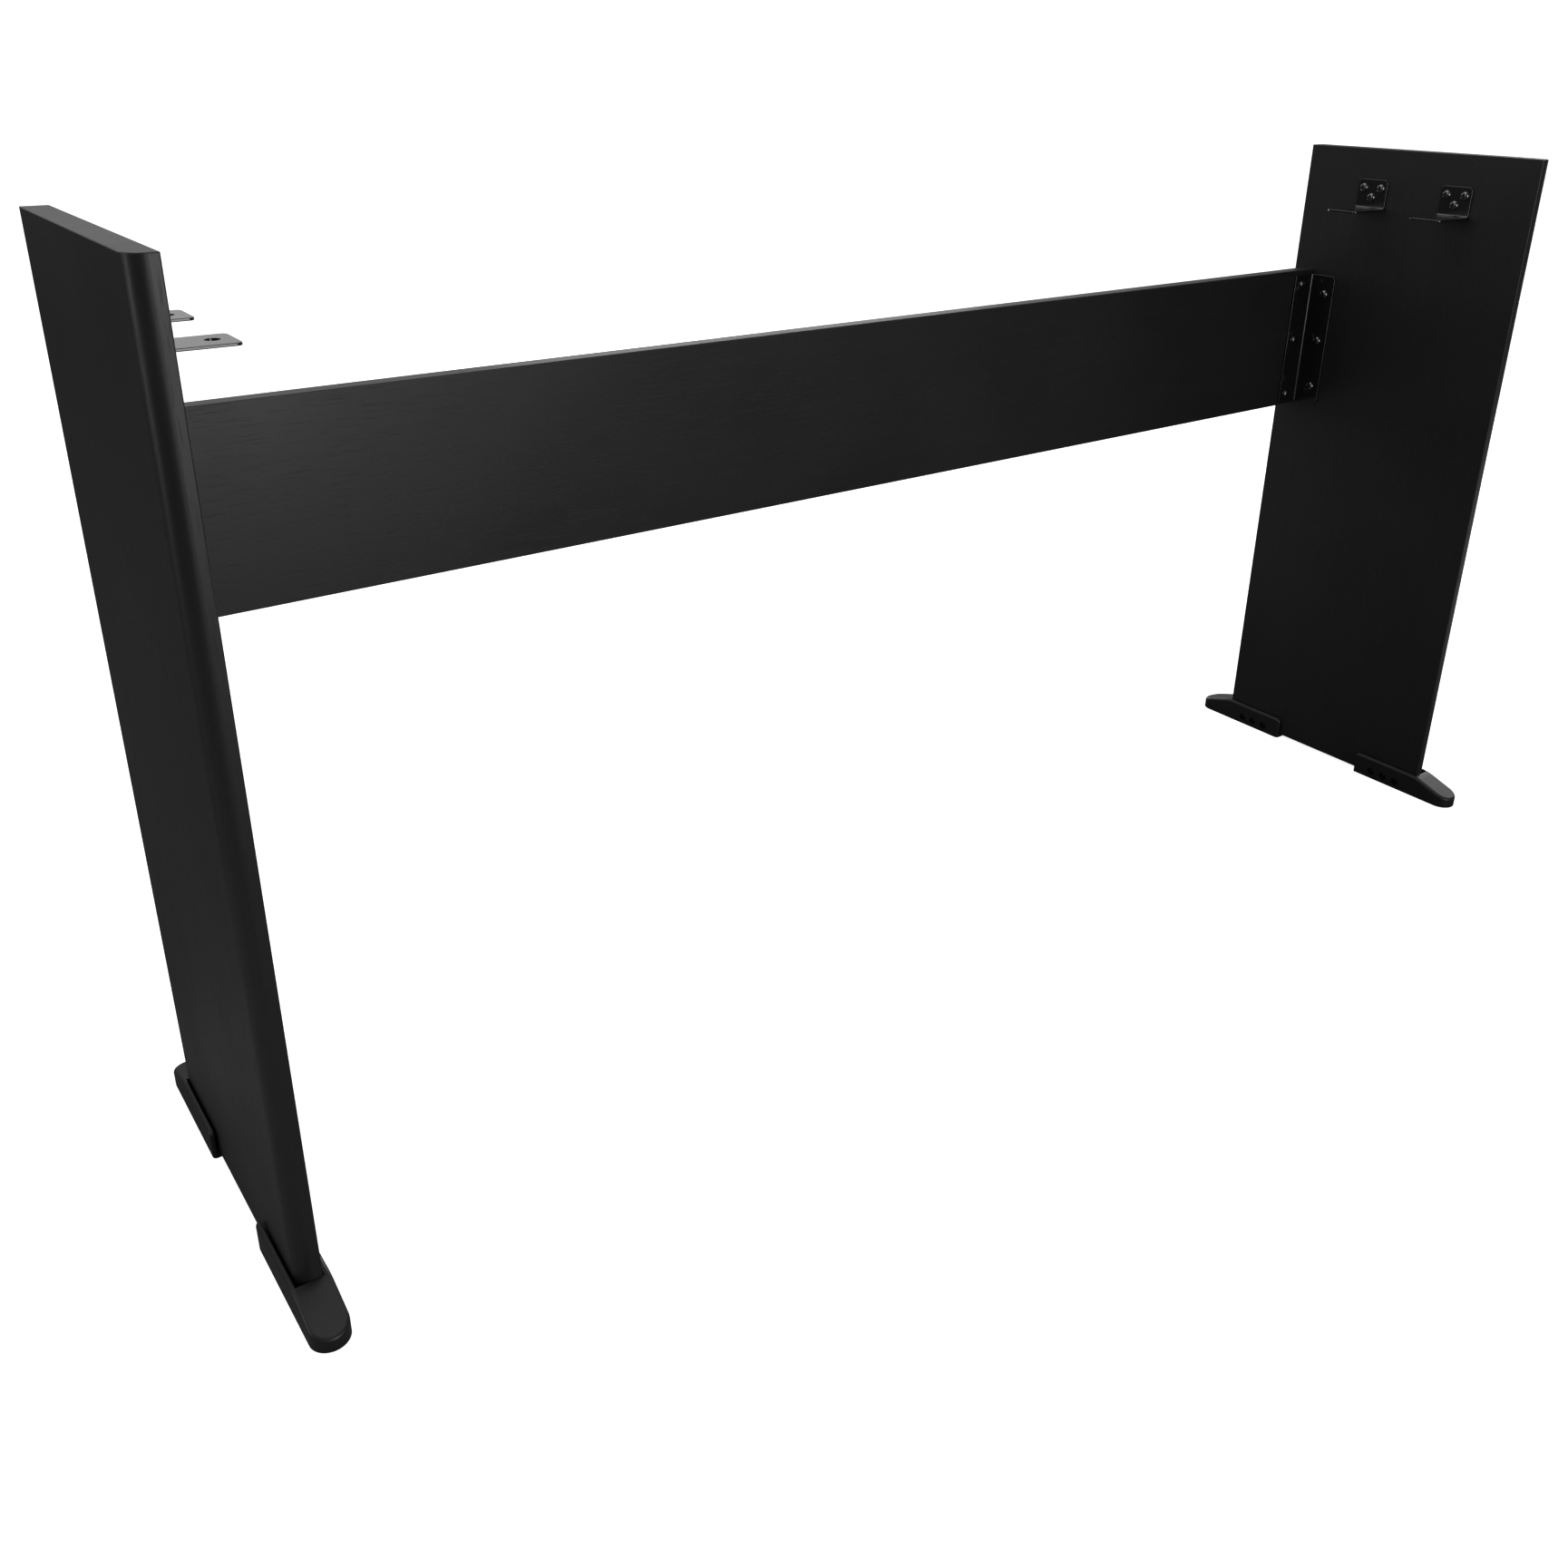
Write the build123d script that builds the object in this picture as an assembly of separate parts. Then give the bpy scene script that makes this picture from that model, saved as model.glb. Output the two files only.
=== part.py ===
from build123d import *
import os

# A two-board stand for a slab digital piano: two upright side boards, a back panel
# between them, four steel brackets that carry the piano, and four moulded feet.
# X runs left to right, the player sits on the -Y side, Z is up, the floor is Z = 0.

# Overall sizes, mm
stand_width = 1360.0        # over the outer faces of the two side boards
stand_height = 716.0        # floor to the top of the side boards
board_depth = 270.0         # side boards, front to back
board_thickness = 18.0

# Side boards and their edge bands
board_front_radius = 12.0   # soft-formed outer front corner
board_arris = 1.0           # the other long edges are broken by this radius
band_thickness = 1.0        # glued plastic edge bands
band_ease = 0.7             # rounding of a band's outer rim

# Back panel
panel_height = 156.0
panel_thickness = 15.0
panel_bottom = 426.0        # underside of the panel above the floor
panel_inset = 9.5           # its rear face, in from the rear edges of the side boards

# Brackets under the piano
bracket_width = 35.5
bracket_steel = 2.0
bracket_bend = 2.0          # inside radius of the bend
bracket_reach = 54.0        # leg, measured from the side board's inner face
bracket_rise = 30.0         # plate, measured up from the leg's top face
bracket_corner = 4.0        # rounded free corners
sheet_ease = 0.55           # rounding of all sheared sheet edges, under the coat
bracket_level = 654.5       # top face of the legs, where the piano rests
bracket_pitch = 99.0        # front bracket to rear bracket, centre to centre
leg_hole = 9.5              # hole for the piano's fixing bolt
leg_hole_inset = 13.0       # its centre, from the tip of the leg
plate_screw_pitch = 20.6    # the two upper screws
plate_upper_screws = 21.0   # their height over the leg's top face
plate_lower_screw = 11.0

# Corner brackets between panel and side boards
corner_flange = 32.0
corner_steel = 2.0
corner_bend = 1.5
corner_lower_gap = 2.5      # panel's underside to the bracket's lower end
corner_upper_gap = 5.5      # bracket's upper end to the panel's top
corner_rounding = 4.0
corner_screw_line = 20.5    # screw line, from the corner of board and panel
panel_flange_end = 10.5     # outer screws of the panel flange, in from the bracket's ends
board_flange_end = 21.0     # the same for the board flange

# Feet
foot_base = 4.0             # plastic under the board
foot_height = 25.5
foot_wall = 5.3             # inner wall, which the screws draw against the board
foot_outer_wall = 4.1
slot_gap = 0.3              # between the board and the inner wall, and at the slot's end
slot_outer_gap = 1.5        # between the board and the outer wall
foot_grip = 79.0            # length of the slot, in from the board's edge
toe_length = 44.5           # toe, out from the board's edge
toe_flat = 0.5              # level start of the toe, before it slopes down
toe_tip_height = 11.0
toe_blend = 45.0            # radius between the level part and the slope
foot_rim = 3.2              # rounding of the upper rim
foot_heel = 5.0             # rounding at the upper end of the walls
slot_lead = 0.8             # chamfer at the mouth of the slot
foot_screw_height = 8.5
foot_screw_pitch = 16.0
foot_screw_line = 39.5      # middle screw, in from the board's edge
foot_counterbore = 9.0
foot_counterbore_depth = 3.2

# Screws: head diameter, head height, thread diameter, length under the head
bracket_screw = (9.4, 2.8, 4.5, 15.0)
corner_board_screw = (9.4, 2.8, 4.5, 15.0)
corner_panel_screw = (7.8, 2.4, 3.5, 12.0)
foot_screw = (7.0, 2.2, 3.5, 13.0)
hole_clearance = 0.5        # a through hole is this much wider than its thread
thread_play = 0.1           # a pilot hole is this much wider than its thread
pilot_extra = 1.0           # a pilot hole runs on past the screw's point

# Places worked out from the sizes above
board_outer = stand_width / 2
board_inner = board_outer - board_thickness
board_mid = board_outer - board_thickness / 2
board_edge = board_depth / 2
panel_rear = board_edge - panel_inset
panel_front = panel_rear - panel_thickness
corner_height = panel_height - corner_lower_gap - corner_upper_gap
corner_middle = panel_bottom + corner_lower_gap + corner_height / 2
panel_flange_pitch = corner_height / 2 - panel_flange_end
board_flange_pitch = corner_height / 2 - board_flange_end
slot_inner_face = board_inner - slot_gap
slot_outer_face = board_outer + slot_outer_gap
foot_inner_face = slot_inner_face - foot_wall
foot_outer_face = slot_outer_face + foot_outer_wall
foot_width = foot_outer_face - foot_inner_face
foot_mid = (foot_inner_face + foot_outer_face) / 2
bracket_rows = {"front": -bracket_pitch / 2, "rear": bracket_pitch / 2}


def along_x(x, y, z):
    """Plane on a face that looks towards -X, for screws driven outwards into a right-hand board."""
    return Plane(origin=(x, y, z), x_dir=(0, 1, 0), z_dir=(-1, 0, 0))


def along_y(x, y, z):
    """Plane on a face that looks towards -Y, for screws driven backwards into the panel."""
    return Plane(origin=(x, y, z), x_dir=(1, 0, 0), z_dir=(0, -1, 0))


def screw(size):
    """Pan-head cross-recess wood screw: head above its own XY plane, thread below it."""
    head, rise, thread, length = size
    outline = Polyline((0, rise), (head * 0.2, rise))
    crown = ThreePointArc((head * 0.2, rise), (head * 0.41, rise * 0.72), (head / 2, rise * 0.2))
    point = Polyline(
        (head / 2, rise * 0.2),
        (head / 2, 0),
        (thread / 2, 0),
        (thread / 2, thread - length),
        (0, -length),
        (0, rise),
    )
    body = revolve(Plane.XZ * make_face(outline + crown + point), Axis.Z)
    recess = Pos(0, 0, rise) * (
        Box(head * 0.52, head * 0.12, rise * 1.1) + Box(head * 0.12, head * 0.52, rise * 1.1)
    )
    return body - recess


def pilot(size, grip):
    """Blind hole below the XY plane for a screw that first passes through a sheet `grip` thick."""
    depth = size[3] - grip + pilot_extra
    return Pos(0, 0, -depth / 2) * Cylinder((size[2] + thread_play) / 2, depth)


def clearance(size, grip):
    """Through hole for a screw, reaching `grip` below the XY plane."""
    return Pos(0, 0, -grip / 2) * Cylinder((size[2] + hole_clearance) / 2, 3 * grip)


def bracket_screw_places(row):
    """The three plate screws of one piano bracket: two above, one below between them."""
    upper = bracket_level + plate_upper_screws
    lower = bracket_level + plate_lower_screw
    half = plate_screw_pitch / 2
    return [(row - half, upper), (row + half, upper), (row, lower)]


def foot_screw_places(end):
    """The three screws of one foot; end is -1 in front and 1 behind."""
    middle = board_edge - foot_screw_line
    return [(end * (middle + k * foot_screw_pitch), foot_screw_height) for k in (-1, 0, 1)]


def corner_board_places():
    line = panel_front - corner_screw_line
    return [(line, corner_middle + k * board_flange_pitch) for k in (-1, 0, 1)]


def corner_panel_places():
    line = board_inner - corner_screw_line
    return [(line, corner_middle + k * panel_flange_pitch) for k in (-1, 0, 1)]


def board_outline(rear):
    """Plan of the right side board, up to the given rear edge, outer front corner soft-formed."""
    depth = rear + board_edge
    plan = Pos(board_mid, rear - depth / 2) * Rectangle(board_thickness, depth)
    front = plan.vertices().group_by(Axis.Y)[0].sort_by(Axis.X)
    plan = fillet(front[-1], board_front_radius)
    front = plan.vertices().group_by(Axis.X)[0].sort_by(Axis.Y)
    return fillet(front[0], board_arris)


def side_board():
    """Right side board without its bands, with the pilot holes in its inner face."""
    bottom = foot_base
    length = stand_height - band_thickness - bottom
    board = extrude(Pos(0, 0, bottom) * board_outline(board_edge - band_thickness), length)
    for row in bracket_rows.values():
        for y, z in bracket_screw_places(row):
            board -= along_x(board_inner, y, z) * pilot(bracket_screw, bracket_steel)
    for y, z in corner_board_places():
        board -= along_x(board_inner, y, z) * pilot(corner_board_screw, corner_steel)
    wall = foot_wall + slot_gap - foot_counterbore_depth
    for end in (-1, 1):
        for y, z in foot_screw_places(end):
            board -= along_x(board_inner, y, z) * pilot(foot_screw, wall)
    return board


def top_band():
    """Edge band on the upper end of the right side board, its rim eased."""
    level = stand_height - band_thickness
    band = extrude(Pos(0, 0, level) * board_outline(board_edge), band_thickness)
    return fillet(band.faces().sort_by(Axis.Z)[-1].edges(), band_ease)


def rear_band():
    """Edge band down the rear edge of the right side board."""
    length = stand_height - band_thickness - foot_base
    middle = Pos(board_mid, board_edge - band_thickness / 2, foot_base + length / 2)
    band = middle * Box(board_thickness, band_thickness, length)
    rim = band.faces().sort_by(Axis.Y)[-1].edges().filter_by(Axis.Z)
    return fillet(rim, band_ease)


def back_panel():
    """Panel core between the side boards, with the pilot holes for both corner brackets."""
    height = panel_height - 2 * band_thickness
    middle = Pos(0, panel_rear - panel_thickness / 2, panel_bottom + panel_height / 2)
    panel = middle * Box(2 * board_inner, panel_thickness, height)
    for x, z in corner_panel_places():
        for side in (-1, 1):
            panel -= along_y(side * x, panel_front, z) * pilot(corner_panel_screw, corner_steel)
    return panel


def panel_band(top):
    """Edge band on the panel's upper edge (top is True) or lower edge."""
    level = panel_bottom + (panel_height - band_thickness / 2 if top else band_thickness / 2)
    band = Pos(0, panel_rear - panel_thickness / 2, level) * Box(
        2 * board_inner, panel_thickness, band_thickness
    )
    rim = band.faces().sort_by(Axis.Z)[-1 if top else 0].edges().filter_by(Axis.X)
    return fillet(rim, band_ease)


def angle_profile(first, second, steel, bend):
    """Bent-sheet section with its outer corner at the origin, arms along +X and +Y."""
    outer = bend + steel
    section = Polyline(
        (0, 0), (first, 0), (first, steel), (steel, steel), (steel, second), (0, second), (0, 0)
    )
    face = make_face(section)
    corner = face.vertices().sort_by_distance((0, 0, 0))[0]
    face = fillet(corner, outer)
    inside = face.vertices().sort_by_distance((steel, steel, 0))[0]
    return fillet(inside, bend)


def eased(angle, length_axis, steel):
    """The bent sheet with every edge between a sheet face and a sheared face rounded."""
    sheet = [
        face
        for face in angle.faces()
        if face.area > 100
        and not (face.geom_type == GeomType.PLANE and abs(face.normal_at().dot(length_axis)) > 0.9)
    ]
    found = []
    for face in sheet:
        for edge in face.edges():
            twins = [other for other in found if (other @ 0.5 - edge @ 0.5).length < 0.01]
            if twins:
                found.remove(twins[0])
            else:
                found.append(edge)
    return fillet(found, min(sheet_ease, 0.3 * steel))


def piano_bracket(row):
    """Right-hand steel angle: plate screwed to the board above, leg reaching in under the piano."""
    rise = bracket_rise + bracket_steel
    frame = Plane(
        origin=(board_inner, row, bracket_level - bracket_steel), x_dir=(-1, 0, 0), z_dir=(0, 1, 0)
    )
    profile = frame * angle_profile(bracket_reach, rise, bracket_steel, bracket_bend)
    angle = extrude(profile, bracket_width / 2, both=True)
    tip = angle.edges().filter_by(Axis.Z).sort_by(Axis.X)[:2]
    angle = fillet(tip, bracket_corner)
    head = angle.edges().filter_by(Axis.X).group_by(Axis.Z)[-1]
    angle = eased(fillet(head, bracket_corner), Vector(0, 1, 0), bracket_steel)
    for y, z in bracket_screw_places(row):
        face = along_x(board_inner - bracket_steel, y, z)
        angle -= face * clearance(bracket_screw, bracket_steel)
    hole_x = board_inner - bracket_reach + leg_hole_inset
    hole = Pos(hole_x, row, bracket_level) * Cylinder(leg_hole / 2, 4 * bracket_steel)
    return angle - hole


def corner_bracket():
    """Right-hand steel angle that joins the panel's front face to the side board."""
    frame = Plane(
        origin=(board_inner, panel_front, corner_middle), x_dir=(-1, 0, 0), z_dir=(0, 0, 1)
    )
    profile = frame * angle_profile(corner_flange, corner_flange, corner_steel, corner_bend)
    angle = extrude(profile, corner_height / 2, both=True)
    panel_side = angle.edges().filter_by(Axis.Y).group_by(Axis.X)[0]
    angle = fillet(panel_side, corner_rounding)
    board_side = angle.edges().filter_by(Axis.X).group_by(Axis.Y)[0]
    angle = eased(fillet(board_side, corner_rounding), Vector(0, 0, 1), corner_steel)
    for y, z in corner_board_places():
        face = along_x(board_inner - corner_steel, y, z)
        angle -= face * clearance(corner_board_screw, corner_steel)
    for x, z in corner_panel_places():
        face = along_y(x, panel_front - corner_steel, z)
        angle -= face * clearance(corner_panel_screw, corner_steel)
    return angle


def front_foot():
    """Right front foot: a slot that the board stands in, and a round-nosed sloping toe."""
    heel = -board_edge + foot_grip
    tip = -board_edge - toe_length
    nose = foot_width / 2
    length = heel - tip - nose
    plan = Pos(foot_mid, heel - length / 2) * Rectangle(foot_width, length)
    plan += Pos(foot_mid, tip + nose) * Circle(nose)
    shell = extrude(plan, foot_height)
    side = make_face(
        Polyline(
            (heel, 0),
            (heel, foot_height),
            (-board_edge - toe_flat, foot_height),
            (tip, toe_tip_height),
            (tip, 0),
            (heel, 0),
        )
    )
    heel_corner = side.vertices().sort_by_distance((heel, foot_height, 0))[0]
    side = fillet(heel_corner, foot_heel)
    crest = side.vertices().sort_by_distance((-board_edge - toe_flat, foot_height, 0))[0]
    side = fillet(crest, toe_blend)
    cutter = extrude(Plane.YZ * side, 2 * board_outer)
    foot = shell & cutter
    base_edges = foot.faces().sort_by(Axis.Z)[0].edges()
    upright = foot.edges().filter_by(Axis.Z)
    rim = foot.edges() - base_edges - upright
    ends = rim.filter_by(Axis.X)
    foot = fillet(rim - ends, min(foot_rim, foot_outer_wall - slot_lead - 0.1))
    slot_depth = foot_height - foot_base
    slot_length = foot_grip + slot_gap
    slot_mid = (slot_inner_face + slot_outer_face) / 2
    slot = Pos(slot_mid, heel - slot_length / 2, foot_base + slot_depth / 2) * Box(
        slot_outer_face - slot_inner_face, slot_length, slot_depth
    )
    foot -= slot
    mouth = [
        edge
        for edge in foot.edges()
        if min(abs(edge.center().X - x) for x in (slot_inner_face, slot_outer_face)) < 0.01
        and edge.center().Z > foot_height - foot_heel
        and abs(edge.tangent_at(0.5).Z) < 0.9
    ]
    foot = chamfer(mouth, slot_lead)
    for y, z in foot_screw_places(-1):
        seat = along_x(foot_inner_face, y, z)
        sunk = Pos(0, 0, -foot_counterbore_depth / 2)
        foot -= seat * sunk * Cylinder(foot_counterbore / 2, foot_counterbore_depth)
        foot -= seat * clearance(foot_screw, foot_wall)
    return foot


def screws(size, places):
    """A group of like screws, one on each of the given planes."""
    return Compound(children=[place * screw(size) for place in places])


def right_hand_pieces():
    """Every piece that the stand has on the right, by name; the left side mirrors them."""
    plate = board_inner - bracket_steel
    flange = board_inner - corner_steel
    sheet = panel_front - corner_steel
    foot_seat = foot_inner_face + foot_counterbore_depth
    pieces = {
        "side_board": side_board(),
        "top_edge_band": top_band(),
        "rear_edge_band": rear_band(),
        "corner_bracket": corner_bracket(),
        "corner_bracket_board_screws": screws(
            corner_board_screw, [along_x(flange, y, z) for y, z in corner_board_places()]
        ),
        "corner_bracket_panel_screws": screws(
            corner_panel_screw, [along_y(x, sheet, z) for x, z in corner_panel_places()]
        ),
    }
    foot = front_foot()
    feet = {"front": foot, "rear": mirror(foot, about=Plane.XZ)}
    for name, row in bracket_rows.items():
        end = -1 if name == "front" else 1
        pieces[name + "_piano_bracket"] = piano_bracket(row)
        pieces[name + "_piano_bracket_screws"] = screws(
            bracket_screw, [along_x(plate, y, z) for y, z in bracket_screw_places(row)]
        )
        pieces[name + "_foot"] = feet[name]
        pieces[name + "_foot_screws"] = screws(
            foot_screw, [along_x(foot_seat, y, z) for y, z in foot_screw_places(end)]
        )
    return pieces


nodes = {
    "back_panel": back_panel(),
    "panel_top_edge_band": panel_band(top=True),
    "panel_bottom_edge_band": panel_band(top=False),
}
for name, piece in right_hand_pieces().items():
    nodes["right_" + name] = piece
    nodes["left_" + name] = mirror(piece, about=Plane.YZ)

os.makedirs("parts", exist_ok=True)
for name, piece in nodes.items():
    export_step(piece, "parts/" + name + ".step")
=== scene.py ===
import math

import bpy
from mathutils import Matrix, Vector

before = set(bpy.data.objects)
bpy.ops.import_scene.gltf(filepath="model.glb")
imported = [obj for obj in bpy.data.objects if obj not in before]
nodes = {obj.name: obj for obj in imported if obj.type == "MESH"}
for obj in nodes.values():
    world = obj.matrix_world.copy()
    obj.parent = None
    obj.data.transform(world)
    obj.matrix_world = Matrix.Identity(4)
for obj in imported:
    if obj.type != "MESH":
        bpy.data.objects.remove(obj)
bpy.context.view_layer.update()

# ---- Side boards ------------------------------------------------------------
# Two upright boards of 18 mm chipboard, wrapped in satin black foil that is printed and pressed
# with a fine ash grain. The grain runs up the board and round the soft-formed front corner.


def add(tree, kind, ports=None, **settings):
    """Adds a shader node; settings are its properties, ports its input values by name."""
    made = tree.nodes.new("ShaderNode" + kind)
    for name, value in settings.items():
        setattr(made, name, value)
    for name, value in (ports or {}).items():
        made.inputs[name].default_value = value
    return made


def join(tree, *pairs):
    """Links (node, output, node, input) pairs."""
    for source, out, target, into in pairs:
        tree.links.new(source.outputs[out], target.inputs[into])


def effect(name, inputs, outputs):
    """A new shader group: returns its tree, its input node and its output node."""
    tree = bpy.data.node_groups.new(name, "ShaderNodeTree")
    for label, kind, value in inputs:
        socket = tree.interface.new_socket(
            name=label, in_out="INPUT", socket_type="NodeSocket" + kind
        )
        if value is not None:
            socket.default_value = value
    for label, kind in outputs:
        tree.interface.new_socket(name=label, in_out="OUTPUT", socket_type="NodeSocket" + kind)
    return tree, tree.nodes.new("NodeGroupInput"), tree.nodes.new("NodeGroupOutput")


def use(tree, group, ports=None):
    """Places a shader group in a tree with its own values."""
    placed = tree.nodes.new("ShaderNodeGroup")
    placed.node_tree = group
    for name, value in (ports or {}).items():
        placed.inputs[name].default_value = value
    return placed


def finish_material(name):
    """A new material: returns it, its tree, its Principled shader and its object coordinates."""
    material = bpy.data.materials.new(name)
    material.use_nodes = True
    tree = material.node_tree
    return material, tree, tree.nodes["Principled BSDF"], add(tree, "TexCoord")


def coat(material, *names):
    """Gives CAD nodes this material in every slot."""
    for name in names:
        for slot in nodes[name].material_slots:
            slot.material = material


def grain_group():
    """Pressed wood grain: noise drawn out along the grain gives the tone, and the darkest
    threads of a finer noise become pores, sunk in the height."""
    tree, given, result = effect(
        "ash_grain",
        [
            ("Vector", "Vector", None),
            ("Draw", "Vector", (1.0, 1.0, 1.0)),
            ("Pore Width", "Float", 0.42),
        ],
        [("Tone", "Float"), ("Pores", "Float"), ("Height", "Float")],
    )
    drawn = add(tree, "VectorMath", operation="MULTIPLY")
    bend = add(tree, "TexNoise", {"Scale": 2.2, "Detail": 2.0})
    shift = add(tree, "VectorMath", {1: (0.004, 0.004, 0.004)}, operation="MULTIPLY")
    bent = add(tree, "VectorMath", operation="ADD")
    broad = add(tree, "TexNoise", {"Scale": 90.0, "Detail": 3.0, "Roughness": 0.6})
    thread = add(tree, "TexNoise", {"Scale": 620.0, "Detail": 2.0, "Roughness": 0.5})
    pores = add(tree, "MapRange", {"From Min": 0.36, "To Min": 1.0, "To Max": 0.0})
    pores.interpolation_type = "SMOOTHSTEP"
    deep = add(tree, "Math", operation="SUBTRACT")
    join(
        tree,
        (given, "Vector", bend, "Vector"),
        (bend, "Color", shift, 0),
        (given, "Vector", bent, 0),
        (shift, 0, bent, 1),
        (bent, 0, drawn, 0),
        (given, "Draw", drawn, 1),
        (drawn, 0, broad, "Vector"),
        (drawn, 0, thread, "Vector"),
        (thread, 0, pores, "Value"),
        (given, "Pore Width", pores, "From Max"),
        (broad, 0, deep, 0),
        (pores, 0, deep, 1),
        (broad, 0, result, "Tone"),
        (pores, 0, result, "Pores"),
        (deep, 0, result, "Height"),
    )
    return tree


def handling_group():
    """Cloudy change over tens of millimetres, as handling and pressing leave, plus fine dust."""
    tree, given, result = effect(
        "handling",
        [("Vector", "Vector", None), ("Cloud Scale", "Float", 9.0), ("Dust Scale", "Float", 900.0)],
        [("Cloud", "Float"), ("Dust", "Float")],
    )
    cloud = add(tree, "TexNoise", {"Detail": 4.0, "Roughness": 0.55})
    speck = add(tree, "TexNoise", {"Detail": 1.0})
    rare = add(tree, "MapRange", {"From Min": 0.68, "From Max": 0.8})
    join(
        tree,
        (given, "Vector", cloud, "Vector"),
        (given, "Cloud Scale", cloud, "Scale"),
        (given, "Vector", speck, "Vector"),
        (given, "Dust Scale", speck, "Scale"),
        (speck, 0, rare, "Value"),
        (cloud, 0, result, "Cloud"),
        (rare, 0, result, "Dust"),
    )
    return tree


ash_grain = grain_group()
handling = handling_group()


def laminate(name, draw, dark, light, satin):
    """Foil over chipboard: printed tone between two colours, sunk pores, uneven satin gloss.
    Draw squeezes the coordinates, so the grain runs along the axis with the smallest factor."""
    material, tree, shader, place = finish_material(name)
    pore_colour = tuple(0.75 * channel for channel in dark[:3]) + (1,)
    dust_colour = (0.05, 0.05, 0.048, 1)
    grain = use(tree, ash_grain, {"Draw": draw, "Pore Width": 0.41})
    hands = use(tree, handling, {"Cloud Scale": 7.0})
    tone = add(tree, "MapRange", {"From Min": 0.3, "From Max": 0.7})
    colour = add(tree, "Mix", {6: dark, 7: light}, data_type="RGBA")
    inked = add(tree, "Mix", {7: pore_colour}, data_type="RGBA")
    dusty = add(tree, "Mix", {7: dust_colour}, data_type="RGBA")
    some = add(tree, "Math", {1: 0.25}, operation="MULTIPLY")
    rough = add(
        tree,
        "MapRange",
        {"From Min": 0.3, "From Max": 0.7, "To Min": satin - 0.04, "To Max": satin + 0.05},
    )
    dull = add(tree, "Math", {1: 0.07}, operation="MULTIPLY_ADD")
    bump = add(tree, "Bump", {"Strength": 0.2, "Distance": 0.0001})
    join(
        tree,
        (place, "Object", grain, "Vector"),
        (place, "Object", hands, "Vector"),
        (grain, "Tone", tone, "Value"),
        (tone, 0, colour, 0),
        (grain, "Pores", inked, 0),
        (colour, 2, inked, 6),
        (hands, "Dust", some, 0),
        (some, 0, dusty, 0),
        (inked, 2, dusty, 6),
        (dusty, 2, shader, "Base Color"),
        (hands, "Cloud", rough, "Value"),
        (grain, "Pores", dull, 0),
        (rough, 0, dull, 2),
        (dull, 0, shader, "Roughness"),
        (grain, "Height", bump, "Height"),
        (bump, 0, shader, "Normal"),
    )
    shader.inputs["Specular IOR Level"].default_value = 0.5
    return material


foil_dark = (0.0073, 0.0071, 0.0069, 1)
foil_light = (0.0088, 0.0086, 0.0083, 1)
foil_satin = 0.40
upright_grain = (1.6, 1.6, 0.05)
board_foil = laminate("board_laminate", upright_grain, foil_dark, foil_light, foil_satin)
coat(board_foil, "left_side_board", "right_side_board")

# ---- Edge bands -------------------------------------------------------------
# Smooth 1 mm plastic strips, hot-glued to the boards' upper and rear ends and to the panel's long
# edges, then trimmed and eased. They have no grain, only the faint lines of the extruding die.


def band_plastic(name, draw):
    """Extruded strip: plain colour, faint die lines along it, soft uneven sheen."""
    material, tree, shader, place = finish_material(name)
    dark, light = (0.021, 0.0196, 0.019, 1), (0.026, 0.0243, 0.0236, 1)
    dust_colour = (0.09, 0.088, 0.085, 1)
    drawn = add(tree, "VectorMath", {1: draw}, operation="MULTIPLY")
    lines = add(tree, "TexNoise", {"Scale": 500.0, "Detail": 2.0})
    hands = use(tree, handling, {"Cloud Scale": 14.0, "Dust Scale": 700.0})
    colour = add(tree, "Mix", {6: dark, 7: light}, data_type="RGBA")
    dusty = add(tree, "Mix", {7: dust_colour}, data_type="RGBA")
    some = add(tree, "Math", {1: 0.3}, operation="MULTIPLY")
    rough = add(tree, "MapRange", {"To Min": 0.34, "To Max": 0.46})
    bump = add(tree, "Bump", {"Strength": 0.2, "Distance": 0.00005})
    join(
        tree,
        (place, "Object", drawn, 0),
        (drawn, 0, lines, "Vector"),
        (place, "Object", hands, "Vector"),
        (hands, "Cloud", colour, 0),
        (hands, "Dust", some, 0),
        (some, 0, dusty, 0),
        (colour, 2, dusty, 6),
        (dusty, 2, shader, "Base Color"),
        (hands, "Cloud", rough, "Value"),
        (rough, 0, shader, "Roughness"),
        (lines, 0, bump, "Height"),
        (bump, 0, shader, "Normal"),
    )
    shader.inputs["Specular IOR Level"].default_value = 0.38
    # The warm specular tint is painted warmth in the reflections, standing in for a warm backdrop
    # lamp.
    shader.inputs["Specular Tint"].default_value = (1.0, 0.94, 0.945, 1)
    return material


along_depth = band_plastic("edge_band_top", (1.0, 0.02, 1.0))
along_height = band_plastic("edge_band_rear", (1.0, 1.0, 0.02))
along_width = band_plastic("edge_band_panel", (0.02, 1.0, 1.0))
coat(along_depth, "left_top_edge_band", "right_top_edge_band")
coat(along_height, "left_rear_edge_band", "right_rear_edge_band")
coat(along_width, "panel_top_edge_band", "panel_bottom_edge_band")

# ---- Back panel -------------------------------------------------------------
# A 15 mm board in the same foil, its grain lying lengthwise. It stiffens the stand, and is held
# to each side board by a steel corner bracket on its front face.

lengthwise_grain = (0.05, 1.6, 1.6)
panel_foil = laminate("panel_laminate", lengthwise_grain, foil_dark, foil_light, foil_satin)
coat(panel_foil, "back_panel")

# ---- Steel brackets ---------------------------------------------------------
# Bent from 2 mm strip and powder-coated black: four angles that carry the piano, and two long
# corner angles that join panel and boards. The coat is semi-gloss with a slight orange peel.


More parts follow.
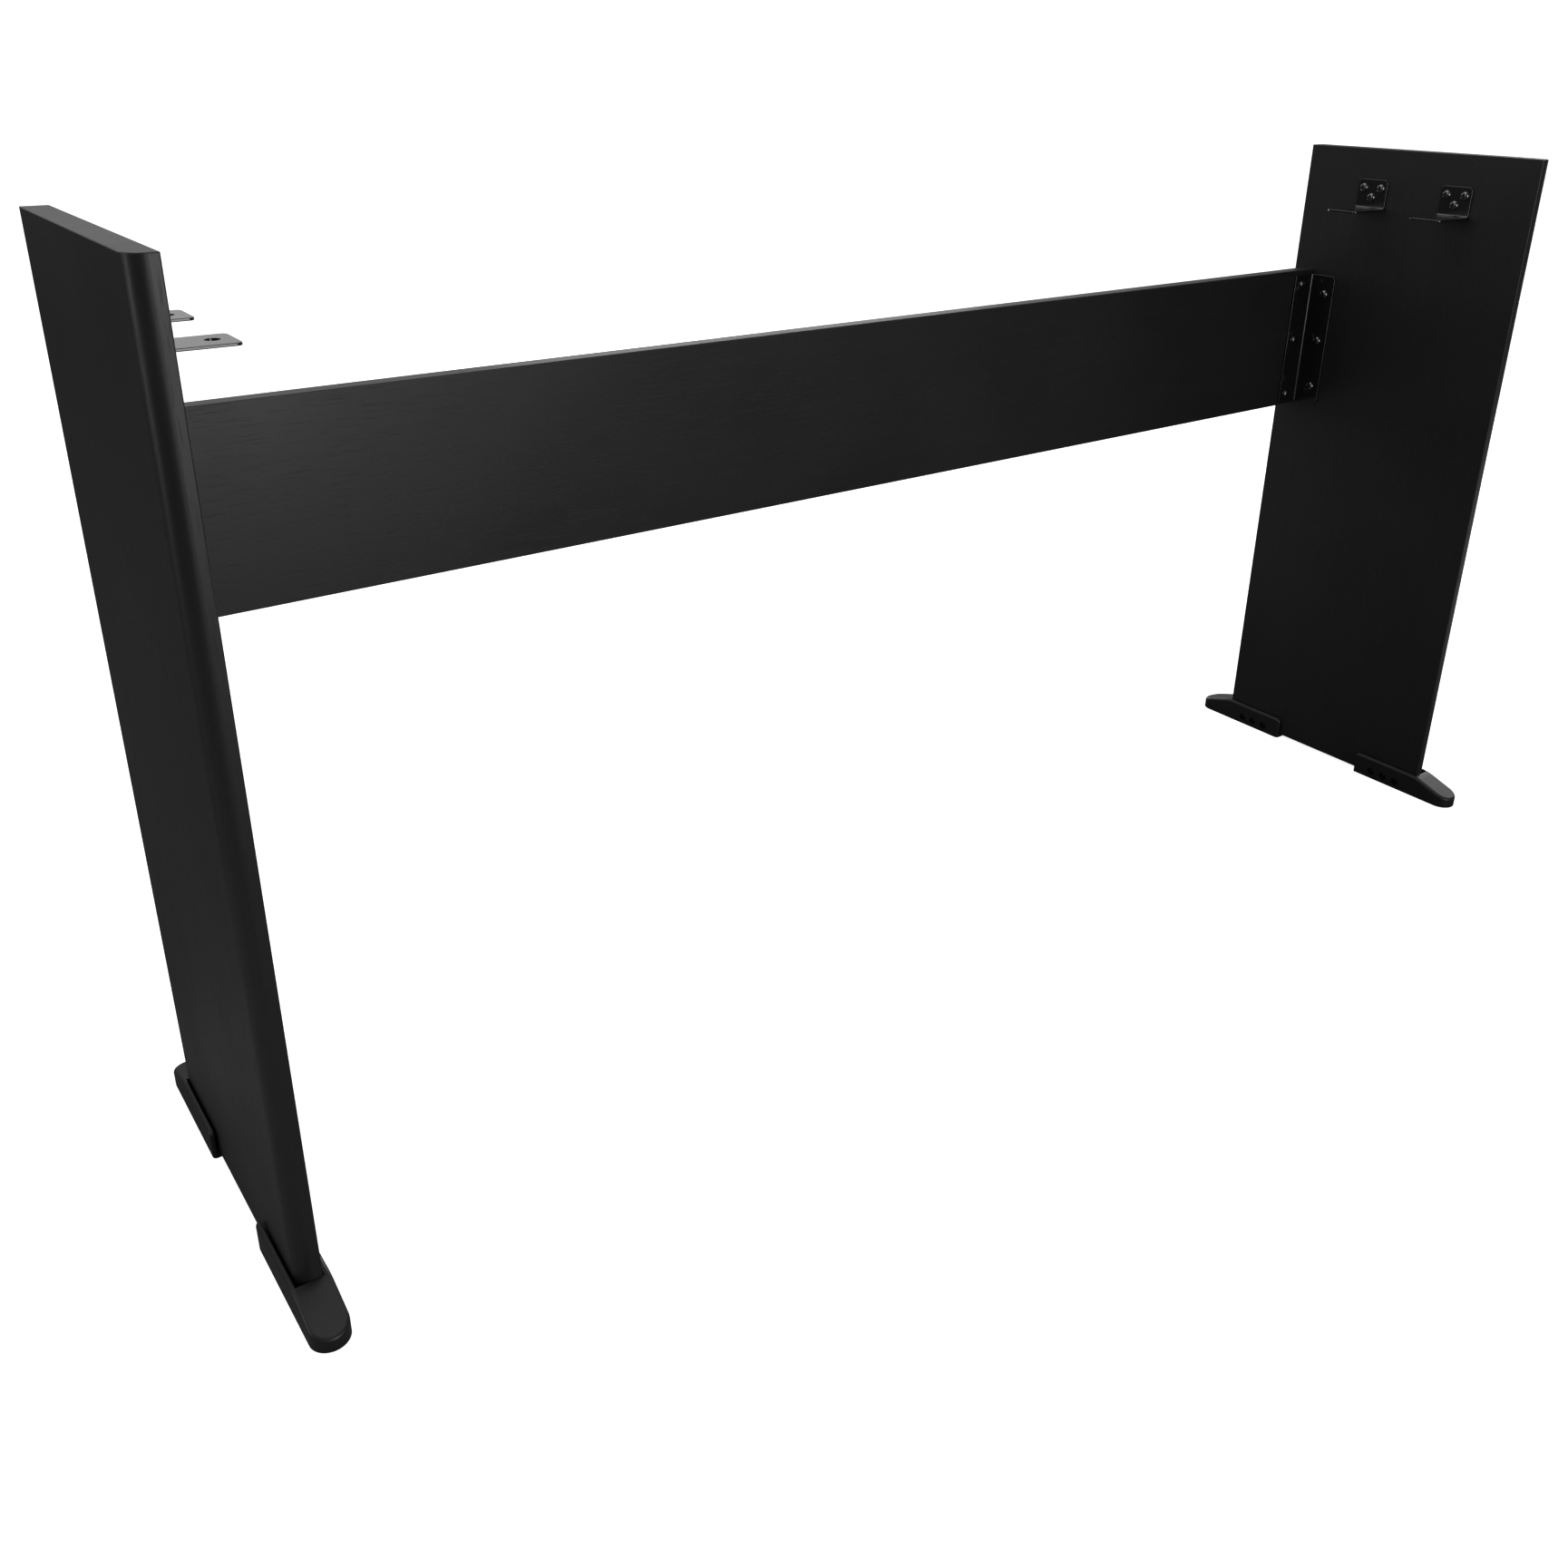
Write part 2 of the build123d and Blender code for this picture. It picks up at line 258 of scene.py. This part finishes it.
def grit_group():
    """Small bumps at two sizes, for powder coat and for a spark-eroded mould surface."""
    tree, given, result = effect(
        "grit",
        [("Vector", "Vector", None), ("Coarse", "Float", 900.0), ("Fine", "Float", 2600.0)],
        [("Height", "Float"), ("Tone", "Float")],
    )
    coarse = add(tree, "TexNoise", {"Detail": 2.0})
    fine = add(tree, "TexNoise", {"Detail": 3.0})
    both = add(tree, "Math", {1: 0.35}, operation="MULTIPLY_ADD")
    join(
        tree,
        (given, "Vector", coarse, "Vector"),
        (given, "Coarse", coarse, "Scale"),
        (given, "Vector", fine, "Vector"),
        (given, "Fine", fine, "Scale"),
        (fine, 0, both, 0),
        (coarse, 0, both, 2),
        (both, 0, result, "Height"),
        (coarse, 0, result, "Tone"),
    )
    return tree


grit = grit_group()


def gritty(name, sizes, tones, rough, specular, strength, depth):
    """A coat or moulding with small bumps: colour and gloss shift a little with handling.
    Sizes are the noise scales of coarse and fine bumps, tones its darkest and lightest grey."""
    material, tree, shader, place = finish_material(name)
    dust_colour = (0.08, 0.08, 0.078, 1)
    dark, light = tones
    bumps = use(tree, grit, {"Coarse": sizes[0], "Fine": sizes[1]})
    hands = use(tree, handling, {"Cloud Scale": 22.0, "Dust Scale": 800.0})
    colour = add(tree, "Mix", {6: dark, 7: light}, data_type="RGBA")
    dusty = add(tree, "Mix", {7: dust_colour}, data_type="RGBA")
    some = add(tree, "Math", {1: 0.25}, operation="MULTIPLY")
    sheen = add(tree, "MapRange", {"To Min": rough - 0.05, "To Max": rough + 0.05})
    bump = add(tree, "Bump", {"Strength": strength, "Distance": depth})
    join(
        tree,
        (place, "Object", bumps, "Vector"),
        (place, "Object", hands, "Vector"),
        (bumps, "Tone", colour, 0),
        (hands, "Dust", some, 0),
        (some, 0, dusty, 0),
        (colour, 2, dusty, 6),
        (dusty, 2, shader, "Base Color"),
        (hands, "Cloud", sheen, "Value"),
        (sheen, 0, shader, "Roughness"),
        (bumps, "Height", bump, "Height"),
        (bump, 0, shader, "Normal"),
    )
    shader.inputs["Specular IOR Level"].default_value = specular
    return material


powder_coat = gritty(
    "coated_steel",
    sizes=(700.0, 2200.0),
    tones=((0.0045, 0.0045, 0.0045, 1), (0.0065, 0.0064, 0.0063, 1)),
    rough=0.2,
    specular=0.6,
    strength=0.18,
    depth=0.00006,
)
skin = powder_coat.node_tree.nodes["Principled BSDF"]
skin.inputs["Coat Weight"].default_value = 0.4
skin.inputs["Coat Roughness"].default_value = 0.12
skin.inputs["Coat IOR"].default_value = 1.6
# The warm specular tint is painted warmth in the reflections, standing in for a warm backdrop lamp.
skin.inputs["Specular Tint"].default_value = (1.0, 0.95, 0.94, 1)
sides = ("left", "right")
coat(powder_coat, *[side + "_corner_bracket" for side in sides])
coat(powder_coat, *[f"{side}_{row}_piano_bracket" for side in sides for row in ("front", "rear")])

# ---- Feet -------------------------------------------------------------------
# Four long feet injection-moulded in black plastic with a fine spark-eroded texture. Each has a
# slot that the board stands in, and a sloping round-nosed toe.

moulded = gritty(
    "foot_plastic",
    sizes=(1400.0, 3600.0),
    tones=((0.0055, 0.0055, 0.0055, 1), (0.008, 0.008, 0.008, 1)),
    rough=0.42,
    specular=0.4,
    strength=0.25,
    depth=0.00008,
)
coat(moulded, *[f"{side}_{row}_foot" for side in sides for row in ("front", "rear")])

# ---- Screws -----------------------------------------------------------------
# Pan-head wood screws with a cross recess, black zinc plated, driven through the brackets and
# the feet into the boards. The bracket screws are shiny; those sunk in the feet get a much darker,
# duller copy of the same plating, which is painted shade of their counterbores.


def plated_steel(name, dark, light, glossiest, dullest):
    """Black zinc: dark metal, gloss broken by faint turning marks and plating blotches."""
    material, tree, shader, place = finish_material(name)
    marks = use(tree, grit, {"Coarse": 1600.0, "Fine": 5200.0})
    hands = use(tree, handling, {"Cloud Scale": 160.0, "Dust Scale": 2400.0})
    colour = add(tree, "Mix", {6: dark, 7: light}, data_type="RGBA")
    rough = add(tree, "MapRange", {"To Min": glossiest, "To Max": dullest})
    bump = add(tree, "Bump", {"Strength": 0.15, "Distance": 0.00005})
    join(
        tree,
        (place, "Object", marks, "Vector"),
        (place, "Object", hands, "Vector"),
        (hands, "Cloud", colour, 0),
        (colour, 2, shader, "Base Color"),
        (marks, "Tone", rough, "Value"),
        (rough, 0, shader, "Roughness"),
        (marks, "Height", bump, "Height"),
        (bump, 0, shader, "Normal"),
    )
    shader.inputs["Metallic"].default_value = 1.0
    return material


bright_black = plated_steel(
    "bracket_screw_steel", (0.11, 0.11, 0.115, 1), (0.22, 0.215, 0.215, 1), 0.12, 0.24
)
# A much darker copy of the same black zinc for the screws sunk in the feet: painted shade of their
# counterbores.
recess_shade_black = plated_steel(
    "foot_screw_painted_shade", (0.012, 0.012, 0.012, 1), (0.03, 0.03, 0.03, 1), 0.4, 0.55
)
coat(bright_black, *[name for name in nodes if name.endswith("bracket_screws")])
coat(bright_black, *[name for name in nodes if "corner" in name and name.endswith("_screws")])
coat(recess_shade_black, *[name for name in nodes if name.endswith("foot_screws")])

# ---- Setting ----------------------------------------------------------------
# A plain pale floor that runs on into a white surround, with soft boxes on every side. In bounced
# light and reflections the floor is dark, which is painted shade, with a painted pool of light at
# the left, the right and behind.

floor_half = 40.0
floor_mesh = bpy.data.meshes.new("floor")
floor_mesh.from_pydata(
    [(x * floor_half, y * floor_half, 0.0) for x, y in ((-1, -1), (1, -1), (1, 1), (-1, 1))],
    [],
    [(0, 1, 2, 3)],
)
floor = bpy.data.objects.new("floor", floor_mesh)
bpy.context.scene.collection.objects.link(floor)
paper, tree, shader, place = finish_material("pale_floor")
shader.inputs["Base Color"].default_value = (0.80, 0.80, 0.80, 1)
shader.inputs["Roughness"].default_value = 0.9
shader.inputs["Specular IOR Level"].default_value = 0.1
ray = add(tree, "LightPath")
away = add(tree, "VectorMath", operation="LENGTH")
rise = add(tree, "MapRange", {"From Min": 0.8, "From Max": 3.0, "To Min": 0.86, "To Max": 1.05})
glow = add(tree, "Emission", {"Color": (1, 1, 1, 1)})
lit = add(tree, "AddShader")
shade = add(tree, "BsdfDiffuse")
# The floor's dark tone in bounced light and reflections is painted shade; the camera sees the floor
# pale.
dark_floor = 0.11


def painted_light_pool(middle, stretch, inner, outer, tone):
    """A painted pool of light, round or oval, on the dark floor and seen only in bounced light: its
    tone is full out to the inner radius, and fades to the floor's at the outer one. Stretch scales
    the distances along each axis."""
    squeeze = add(tree, "VectorMath", {1: stretch}, operation="MULTIPLY")
    point = tuple(a * b for a, b in zip(middle, stretch))
    reach = add(tree, "VectorMath", {1: point}, operation="DISTANCE")
    fade = add(
        tree,
        "MapRange",
        {"From Min": inner, "From Max": outer, "To Min": tone, "To Max": dark_floor},
    )
    join(
        tree,
        (place, "Object", squeeze, 0),
        (squeeze, 0, reach, 0),
        (reach, "Value", fade, "Value"),
    )
    return fade


# Painted pools of light in the floor's bounced light, pale patches at the left, the right and
# behind.
left_light_pool = painted_light_pool((-1.15, -0.35, 0.0), (1.0, 1.0, 1.0), 0.25, 0.8, 0.42)
right_light_pool = painted_light_pool((1.9, 0.3, 0.0), (1.0, 0.6, 1.0), 0.7, 1.0, 0.8)
rear_light_pool = painted_light_pool((1.0, 1.6, 0.0), (0.7, 1.0, 1.0), 0.8, 1.2, 0.8)
lighter = add(tree, "Math", operation="MAXIMUM")
lightest = add(tree, "Math", operation="MAXIMUM")
join(
    tree,
    (left_light_pool, 0, lighter, 0),
    (right_light_pool, 0, lighter, 1),
    (lighter, 0, lightest, 0),
    (rear_light_pool, 0, lightest, 1),
    (lightest, 0, shade, "Color"),
)
choose = add(tree, "MixShader")
join(
    tree,
    (place, "Object", away, 0),
    (away, "Value", rise, "Value"),
    (rise, 0, glow, "Strength"),
    (shader, 0, lit, 0),
    (glow, 0, lit, 1),
    (ray, "Is Camera Ray", choose, 0),
    (shade, 0, choose, 1),
    (lit, 0, choose, 2),
    (choose, 0, tree.nodes["Material Output"], 0),
)
floor_mesh.materials.append(paper)

world = bpy.data.worlds.new("studio")
bpy.context.scene.world = world
world.use_nodes = True
tree = world.node_tree
ray = add(tree, "LightPath")
seen = add(tree, "Background", {"Color": (1, 1, 1, 1), "Strength": 1.2})
room = add(tree, "Background", {"Color": (1, 1, 1, 1), "Strength": 0.28})
choose = add(tree, "MixShader")
join(
    tree,
    (ray, "Is Camera Ray", choose, 0),
    (room, 0, choose, 1),
    (seen, 0, choose, 2),
    (choose, 0, tree.nodes["World Output"], 0),
)


def softbox(name, place, aim, size, power):
    """A rectangular light at a place, turned to face a point."""
    lamp = bpy.data.lights.new(name, "AREA")
    lamp.shape = "RECTANGLE"
    lamp.size, lamp.size_y = size
    lamp.energy = power
    box = bpy.data.objects.new(name, lamp)
    direction = Vector(aim) - Vector(place)
    turned = direction.to_track_quat("-Z", "Y").to_matrix().to_4x4()
    box.matrix_world = Matrix.Translation(place) @ turned
    bpy.context.scene.collection.objects.link(box)


softbox("overhead", (0.0, 0.6, 2.6), (0.0, 0.2, 0.3), (3.4, 2.0), 22.0)
softbox("backdrop", (0.6, 3.2, 1.75), (0.2, 0.0, 0.75), (6.0, 1.6), 11.0)
softbox("left_strip", (-2.7, 0.45, 0.9), (-0.68, -0.1, 0.4), (0.7, 1.6), 7.0)
softbox("right_strip", (2.7, 0.45, 0.9), (0.68, 0.0, 0.35), (0.9, 1.6), 15.0)
softbox("rear", (1.7, 2.8, 0.55), (0.2, 0.12, 0.4), (1.4, 0.9), 17.0)
softbox("front", (-0.1, -2.6, 0.72), (-0.3, 0.1, 0.4), (0.9, 1.45), 18.8)
softbox("front_right", (0.8, -2.6, 0.8), (-0.1, 0.1, 0.4), (0.9, 1.2), 4.0)

# ---- Camera -----------------------------------------------------------------
# Close to the left board's front edge, about 0.8 m up, looking down to the right.

picture = 1729.0
focal = 1598.8
centre_x, centre_y = 865.4, 752.5
turn, dip, lean = 0.6283, 0.4146, 0.0096
lens = bpy.data.cameras.new("camera")
lens.sensor_width = 36.0
lens.lens = focal / picture * lens.sensor_width
lens.shift_x = (picture / 2 - centre_x) / picture
lens.shift_y = (centre_y - picture / 2) / picture
lens.clip_start = 0.02
camera = bpy.data.objects.new("camera", lens)
camera.matrix_world = (
    Matrix.Translation((-0.8506, -0.9362, 0.8148))
    @ Matrix.Rotation(-turn, 4, "Z")
    @ Matrix.Rotation(math.pi / 2 - dip, 4, "X")
    @ Matrix.Rotation(lean, 4, "Z")
)
bpy.context.scene.collection.objects.link(camera)
bpy.context.scene.camera = camera
bpy.context.scene.view_settings.view_transform = "Standard"
